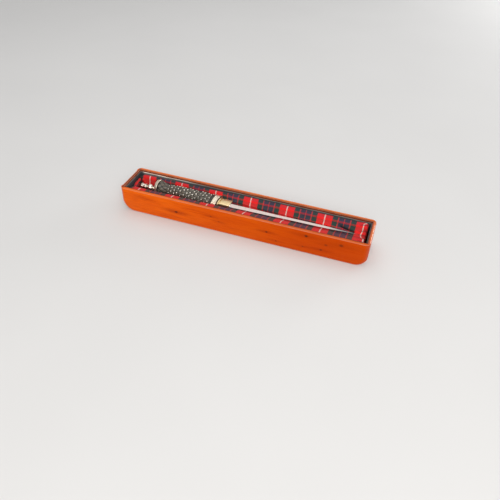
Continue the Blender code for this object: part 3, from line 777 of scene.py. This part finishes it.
def turned(name, profile, flatten=1.0, offset=(0.0, 0.0), segments=96, ring=False,
           lean=None):
    """Turn (x, radius) points about the dirk's axis. flatten squeezes the height.

    lean = (start, stop, amount, flare) draws the points along the axis and outwards, most at
    the back of the hilt, as a mount fitted by hand: from nothing at start to all at stop.
    """
    sections = []
    for x, radius in profile:
        loop = []
        for index in range(segments):
            angle = 2.0 * math.pi * index / segments
            drawn = 0.0
            reach = radius
            if lean:
                start, stop, amount, flare = lean
                pulled = smooth_step(x, start, stop) * (0.65 + 0.35 * math.cos(angle - LEAN_ANGLE))
                drawn = amount * pulled
                reach += flare * pulled
            loop.append((x + drawn, offset[0] + reach * math.cos(angle),
                         offset[1] + reach * flatten * math.sin(angle)))
        sections.append(loop)
    return loft(name, sections, 40.0, ring)


def rounded_profile(points):
    """The profile with each inner corner cut into a small curve."""
    radius, steps = 0.25, 3
    made = [points[0]]
    for before, here, after in zip(points, points[1:], points[2:]):
        before, here, after = Vector(before), Vector(here), Vector(after)
        reach = min(radius, (before - here).length * 0.45, (after - here).length * 0.45)
        start = here + (before - here).normalized() * reach
        stop = here + (after - here).normalized() * reach
        for step in range(steps + 1):
            t = step / steps
            point = start * (1 - t) ** 2 + here * 2 * t * (1 - t) + stop * t ** 2
            made.append((point.x, point.y))
    made.append(points[-1])
    return made


BLADE_START = 27.8              # just beyond the sleeve
BLADE_HALF_WIDTHS = [(BLADE_START, 10.9), (32.0, 10.6), (40.0, 9.9), (52.0, 9.2), (64.0, 8.7),
                     (90.0, 8.0), (114.0, 7.5), (150.0, 6.7), (186.0, 6.0), (210.0, 5.3),
                     (228.0, 4.5), (244.0, 3.5), (258.0, 2.3), (270.0, 1.1), (279.6, 0.25)]


def blade_loop(x, back, front, middle, ridge, edge):
    """A section with a sharp ridge above and below and gently swelled bevels between.

    back and front are how far the edges lie from the axis, and middle is the ridge's place.
    """
    swell, steps = 0.12, 6
    bevel = []
    for step in range(steps + 1):
        t = step / steps
        drop = (1.0 - swell) * t + swell * t * t
        bevel.append((t, edge + (ridge - edge) * (1.0 - drop)))
    upper = [(middle - (front + middle) * t, z) for t, z in reversed(bevel)]
    upper += [(middle + (back - middle) * t, z) for t, z in bevel[1:]]
    lower = [(y, -z) for y, z in reversed(upper)]
    return [(x, y, z) for y, z in upper + lower]


def build_blade(steel):
    """Blade, ricasso and tang in one."""
    sections = []
    for x, half_width, ridge, edge in ((-130.6, 2.0, 2.0, 1.6), (-125.0, 2.0, 2.0, 1.6),
                                       (-124.0, 4.0, 2.2, 2.0), (2.5, 4.0, 2.2, 2.0),
                                       (2.6, 10.2, 1.5, 1.5), (BLADE_START - 0.5, 10.2, 1.5, 1.5)):
        sections.append(blade_loop(x, half_width, half_width, 0.0, ridge, edge))
    for x, half_width in BLADE_HALF_WIDTHS:
        front = half_width + 1.1 * smooth_step(x, 28.0, 40.0) * smooth_step(x, 150.0, 100.0)
        middle = -2.3 * smooth_step(x, 225.0, 120.0)
        ridge = 0.25 + 2.1 * min(half_width / 8.0, 1.0)
        edge = 0.22 if half_width > 0.5 else 0.1
        sections.append(blade_loop(x, half_width, front, middle, ridge, edge))
    hilt_piece(loft("polished_blade", sections, 9.0), "blade", steel)


def sleeve_section(x, half_y, half_z, radius, slope=2.0, drop=0.0):
    """A rounded rectangle. Its upper back edge falls by drop over the last slope mm."""
    outline = []
    for sign_y, sign_z, start in ((1, 1, 0), (-1, 1, 90), (-1, -1, 180), (1, -1, 270)):
        centre = (sign_y * (half_y - radius), sign_z * (half_z - radius))
        corner = arc(centre, radius, start, start + 90, 5)
        if start == 0:
            corner = [(y, z - drop * (y - half_y + slope) / slope) for y, z in corner]
            corner.append((half_y - slope, half_z))
        outline += corner
    return [(x, y, z) for y, z in outline]


def build_sleeve(brass):
    """The brass sleeve round the ricasso: a flat tube with softened, worn edges."""
    outer_y, outer_z, inner_y, inner_z = 11.3, 2.6, 10.45, 1.75
    start, stop, worn = 2.9, 27.4, 1.0
    sections = [sleeve_section(start, outer_y - 0.3, outer_z - 0.3, 0.7, 3.8, worn),
                sleeve_section(start + 0.3, outer_y, outer_z, 0.9, 4.0, worn),
                sleeve_section(stop - 0.4, outer_y, outer_z, 0.9, 1.9, worn),
                sleeve_section(stop - 0.1, outer_y - 0.12, outer_z - 0.12, 0.8, 1.8, worn),
                sleeve_section(stop, outer_y - 0.4, outer_z - 0.4, 0.6, 1.6, worn * 0.7),
                sleeve_section(stop, inner_y, inner_z, 0.3),
                sleeve_section(start, inner_y, inner_z, 0.3)]
    hilt_piece(loft("brass_sleeve", sections, 40.0, ring=True), "ricasso_sleeve", brass)


def add_mount(name, node, profile, material, slot="silver", **how):
    hilt_piece(turned(name, rounded_profile(profile), **how), node, material)


def build_mounts(silver, gilt, brass, leather):
    """Plate, washer, ferrule and collar by the grip; ring, cap and finial at the far end."""
    hole = 4.4
    plate = [(0.0, hole), (0.0, 13.2), (0.4, 13.6), (1.9, 13.6), (2.3, 13.2), (2.3, hole)]
    washer = [(-1.9, hole), (-1.9, 14.4), (-1.1, 14.8), (-0.3, 14.4), (-0.3, hole)]
    collar = [(-12.8, hole), (-12.8, 14.6), (-12.4, 15.0), (-11.4, 15.0), (-11.4, hole)]
    ferrule = [(-11.8, hole), (-11.8, 15.8), (-11.4, 16.5), (-10.8, 16.8), (-10.2, 16.5),
               (-9.8, 15.6), (-9.4, 15.5), (-9.0, 15.7), (-6.6, 15.8), (-6.2, 15.6),
               (-5.7, 15.7), (-5.1, 16.5), (-4.3, 17.0), (-3.2, 17.0), (-2.4, 16.4),
               (-2.2, 15.6), (-2.2, hole)]
    add_mount("brass_throat_plate", "throat_plate", plate, brass, "brass", flatten=0.42,
              ring=True, lean=(-0.1, 0.0, 2.6, 0.0))
    add_mount("leather_washer", "hilt_washer", washer, leather, "dark_leather", flatten=0.47,
              ring=True, lean=(-2.1, -1.9, 2.7, 0.0))
    add_mount("leather_collar", None, collar, leather, "dark_leather", flatten=0.5,
              ring=True, lean=(-12.2, -11.5, 3.8, 1.6))
    add_mount("silver_ferrule", "ferrule", ferrule, gilt, flatten=0.5, ring=True,
              lean=(-13.0, -11.9, 3.8, 1.6))
    inner = 13.0
    ring = [(-136.4, inner), (-137.4, 13.9), (-137.3, 14.6), (-136.6, 15.1), (-135.4, 15.3),
            (-134.0, 15.6), (-133.4, 15.5), (-133.1, 14.9), (-133.2, 14.3), (-134.2, inner)]
    add_mount("silver_pommel_ring", "pommel_ring", ring, gilt, segments=128, ring=True,
              lean=(-137.4, -133.2, 3.2, 1.0))
    axis = 0.02
    cap = [(-138.2, axis), (-138.2, 9.5), (-137.9, 10.8), (-137.2, 12.1), (-136.2, 12.8),
           (-133.4, 12.8), (-133.4, axis)]
    add_mount("silver_pommel_cap", "pommel_cap", cap, silver)
    base = [(-145.4, axis), (-145.4, 3.3), (-144.2, 3.3), (-143.0, 3.9), (-141.9, 4.9),
            (-140.9, 6.1), (-140.1, 6.8), (-139.2, 7.0), (-138.5, 6.6), (-138.5, axis)]
    add_mount("silver_finial_base", "finial_base", base, silver, offset=FINIAL_OFFSET)
    ball = [(-151.8 - 7.1 * math.cos(math.pi * step / 24),
             max(7.1 * math.sin(math.pi * step / 24), axis)) for step in range(25)]
    hilt_piece(turned("silver_finial_ball", ball, offset=FINIAL_OFFSET), "finial_ball",
               silver)
    spool = [(-172.2, axis), (-172.2, 4.8), (-171.9, 5.6), (-171.0, 6.0), (-169.2, 6.0),
             (-168.5, 5.5), (-168.1, 5.1), (-163.6, 5.1), (-163.1, 5.5), (-162.4, 6.0),
             (-160.8, 6.0), (-160.0, 5.4), (-159.4, 4.1), (-158.8, 3.5), (-158.8, axis)]
    add_mount("silver_finial_spool", "finial_spool", spool, silver, offset=FINIAL_OFFSET)
    set_material(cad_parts["tang_nut"], brass)


# Half width and half height of the grip from the pommel to the ferrule.
GRIP_SECTIONS = [(-133.0, 13.4, 13.4), (-129.5, 14.3, 14.3), (-125.0, 14.0, 13.9),
                 (-119.5, 12.2, 12.0), (-114.0, 10.7, 10.3), (-109.0, 10.1, 9.6),
                 (-103.0, 10.5, 9.8), (-95.0, 11.6, 10.6), (-84.0, 12.6, 11.1),
                 (-70.0, 13.0, 10.9), (-54.0, 13.4, 10.1), (-38.0, 14.2, 9.1),
                 (-24.0, 15.2, 8.2), (-13.1, 15.8, 7.8)]
STUD_ROWS = 14
STUDS_PER_ROW = 8
STUD_SPAN = (-108.0, -17.5)
STUD_STEP = (STUD_SPAN[1] - STUD_SPAN[0]) / (STUD_ROWS - 1)
CARVING_DEPTH = 1.5


def grip_size(x):
    """Half width and half height of the grip at x, smooth between the sections."""
    last = len(GRIP_SECTIONS) - 2
    index = min(sum(1 for section in GRIP_SECTIONS[1:] if section[0] < x), last)
    x0, x1 = GRIP_SECTIONS[index][0], GRIP_SECTIONS[index + 1][0]
    t = min(max((x - x0) / (x1 - x0), 0.0), 1.0)
    corners = [GRIP_SECTIONS[min(max(i, 0), last + 1)][1:] for i in range(index - 1, index + 3)]
    size = blend_between(*(Vector(corner) for corner in corners), t)
    return size.x, size.y


def strand(place, sideways):
    """Height of one family of doubled strands, 0 to 1, passing over and under."""
    across = abs((place % 1.0) - 0.5) * 2.0
    body = max(1.0 - (across / 0.78) ** 2, 0.0) ** 0.5
    groove = math.exp(-(across / 0.14) ** 2)
    over = 0.5 + 0.5 * math.sin(math.pi * (sideways + math.floor(place)))
    return body * (0.55 + 0.45 * over) - 0.45 * groove * body


def carving(x, angle):
    """Depth of the interlaced carving at a point of the grip, 0 in the cuts to 1 on top."""
    along = (x - STUD_SPAN[0]) / STUD_STEP
    around = angle * STUDS_PER_ROW / math.pi
    first, second = (along + around) / 2.0, (along - around) / 2.0
    height = max(strand(first, second), strand(second, first + 1.0))
    ends = smooth_step(x, -132.5, -129.0) * smooth_step(-x, 13.6, 16.0)
    return height * ends


def build_grip(material):
    """The carved grip as a fine mesh whose strands are real relief."""
    start, stop = GRIP_SECTIONS[0][0], GRIP_SECTIONS[-1][0]
    rows, around = 300, 192
    shape = bmesh.new()
    relief = shape.verts.layers.float.new("relief")
    loops = []
    for row in range(rows + 1):
        x = start + (stop - start) * row / rows
        width, height = grip_size(x)
        loop = []
        for index in range(around):
            angle = 2.0 * math.pi * index / around
            depth = carving(x, angle)
            grow = (depth - 0.85) * CARVING_DEPTH
            vert = shape.verts.new(mm(x, (width + grow) * math.cos(angle),
                                      (height + grow) * math.sin(angle)))
            vert[relief] = depth
            loop.append(vert)
        loops.append(loop)
    bridge(shape, loops)
    close_ends(shape, loops)
    hilt_piece(finish_mesh("carved_grip", shape, 60.0), "grip", material)


def build_studs(silver):
    """Domed heads in the openings of the interlace, each set a little differently."""
    dice = random.Random(7)
    shape = bmesh.new()
    for row in range(STUD_ROWS):
        for index in range(STUDS_PER_ROW):
            x = STUD_SPAN[0] + STUD_STEP * row + dice.uniform(-1.2, 1.2)
            angle = 2.0 * math.pi * (index + 0.5 * (row % 2)) / STUDS_PER_ROW
            angle += dice.uniform(-0.11, 0.11)
            width, height = grip_size(x)
            normal = Vector((dice.uniform(-0.1, 0.1), math.cos(angle) / width * 10.0,
                             math.sin(angle) / height * 10.0)).normalized()
            seat = Vector((x, width * math.cos(angle), height * math.sin(angle)))
            radius = dice.uniform(1.1, 1.8)
            made = bmesh.ops.create_uvsphere(shape, u_segments=16, v_segments=10,
                                             radius=mm(radius))
            turn = normal.to_track_quat("Z", "X").to_matrix().to_4x4()
            squeeze = Matrix.Diagonal((1.0, 1.0, 0.75, 1.0))
            centre = Vector(mm(*(seat - normal * 0.25)))
            bmesh.ops.transform(shape, matrix=Matrix.Translation(centre) @ turn @ squeeze,
                                verts=made["verts"])
    hilt_piece(finish_mesh("silver_grip_studs", shape, 60.0), None, silver)


def build_dirk():
    # The blade's far end gets painted shade.
    steel = metal_material("polished_steel", (0.55, 0.465, 0.43), (0.46, 0.38, 0.35), 0.10,
                           0.12, (0.05, 1.0, 1.0), painted_dim_end=(160.0, 200.0, (0.25, 0.215, 0.21)))
    brass = metal_material("satin_brass", (0.92, 0.73, 0.41), (0.78, 0.59, 0.32), 0.34, 0.3,
                           (0.1, 1.0, 1.0))
    silver = metal_material("satin_silver", (0.90, 0.83, 0.73), (0.42, 0.36, 0.28), 0.27,
                            stained=(0.46, 0.66, 0.8))
    gilt = metal_material("worn_gilt", (0.93, 0.83, 0.68), (0.72, 0.60, 0.43), 0.36)
    studs = metal_material("worn_studs", (0.96, 0.91, 0.81), (0.28, 0.24, 0.18), 0.30,
                           stained=(0.47, 0.66, 0.85))
    build_blade(steel)
    build_sleeve(brass)
    build_mounts(silver, gilt, brass, leather_material())
    build_grip(grip_material())
    build_studs(studs)


# ---------------- floor, light and camera
def build_stage():
    """A plain pale floor."""
    bpy.ops.mesh.primitive_plane_add(size=14.0, location=(0.0, 0.0, mm(-0.05)))
    floor = bpy.context.active_object
    floor.name = "floor"
    paint = Material("pale_floor", roughness=0.75, specular_ior_level=0.2)
    cloud = paint.noise(paint.position, 3.0, 2.0)
    paint.set(base_color=paint.mix(cloud, (0.66, 0.655, 0.65), (0.70, 0.695, 0.69)))
    set_material(floor, paint.material)


def area_light(name, location, target, size, power, colour=(1.0, 1.0, 1.0)):
    data = bpy.data.lights.new(name, "AREA")
    data.shape = "RECTANGLE"
    data.size, data.size_y = size
    data.energy = power
    data.color = colour
    light = add_object(name, data)
    light.location = location
    way = Vector(target) - Vector(location)
    light.rotation_euler = way.to_track_quat("-Z", "Y").to_euler()


def build_light():
    """Soft studio light: a front key, a ceiling box, two boxes behind and a pale sky."""
    middle = (0.0, 0.0, 0.03)
    area_light("key", (0.9, -2.0, 1.7), middle, (1.8, 1.4), 58.0, (1.0, 0.98, 0.95))
    area_light("ceiling", (-0.3, 0.6, 2.2), middle, (2.6, 2.0), 15.0)
    area_light("back_right", (1.5, 2.3, 0.55), middle, (1.2, 0.7), 22.0)
    area_light("back_high", (-0.6, 2.0, 1.5), middle, (1.3, 1.0), 2.6)
    world = bpy.data.worlds.new("studio")
    bpy.context.scene.world = world
    world.use_nodes = True
    tree = world.node_tree
    sky = tree.nodes["Background"]
    coordinate, split, level, ramp = (tree.nodes.new("ShaderNode" + kind) for kind in (
        "TexCoord", "SeparateXYZ", "MapRange", "ValToRGB"))
    tree.links.new(coordinate.outputs["Generated"], split.inputs[0])
    tree.links.new(split.outputs[2], level.inputs[0])
    level.inputs[1].default_value = -1.0
    level.inputs[2].default_value = 1.0
    tree.links.new(level.outputs[0], ramp.inputs[0])
    tree.links.new(ramp.outputs[0], sky.inputs[0])
    ramp.color_ramp.elements[0].color = (0.35, 0.35, 0.35, 1.0)
    ramp.color_ramp.elements[1].color = (1.0, 1.0, 1.0, 1.0)
    sky.inputs[1].default_value = 0.48


def build_camera():
    """The view the object is judged from: a short way in front, looking down on it."""
    location = Vector(mm(257.1, -757.9, 624.2))
    forward = Vector((-0.2297, 0.7202, -0.6547)).normalized()
    level_right = forward.cross(Vector((0.0, 0.0, 1.0))).normalized()
    level_up = level_right.cross(forward)
    roll = math.radians(2.325)
    right = level_right * math.cos(roll) + level_up * math.sin(roll)
    up = level_up * math.cos(roll) - level_right * math.sin(roll)
    data = bpy.data.cameras.new("camera")
    data.sensor_width = 36.0
    data.lens = 35.81
    data.clip_start, data.clip_end = 0.01, 60.0
    camera = add_object("camera", data)
    turn = Matrix((right, up, -forward)).transposed().to_4x4()
    camera.matrix_world = Matrix.Translation(location) @ turn
    bpy.context.scene.camera = camera


build_camera()
build_case()
build_liners()
build_lining()
build_dirk()
build_stage()
build_light()
bpy.context.scene.view_settings.view_transform = "Standard"
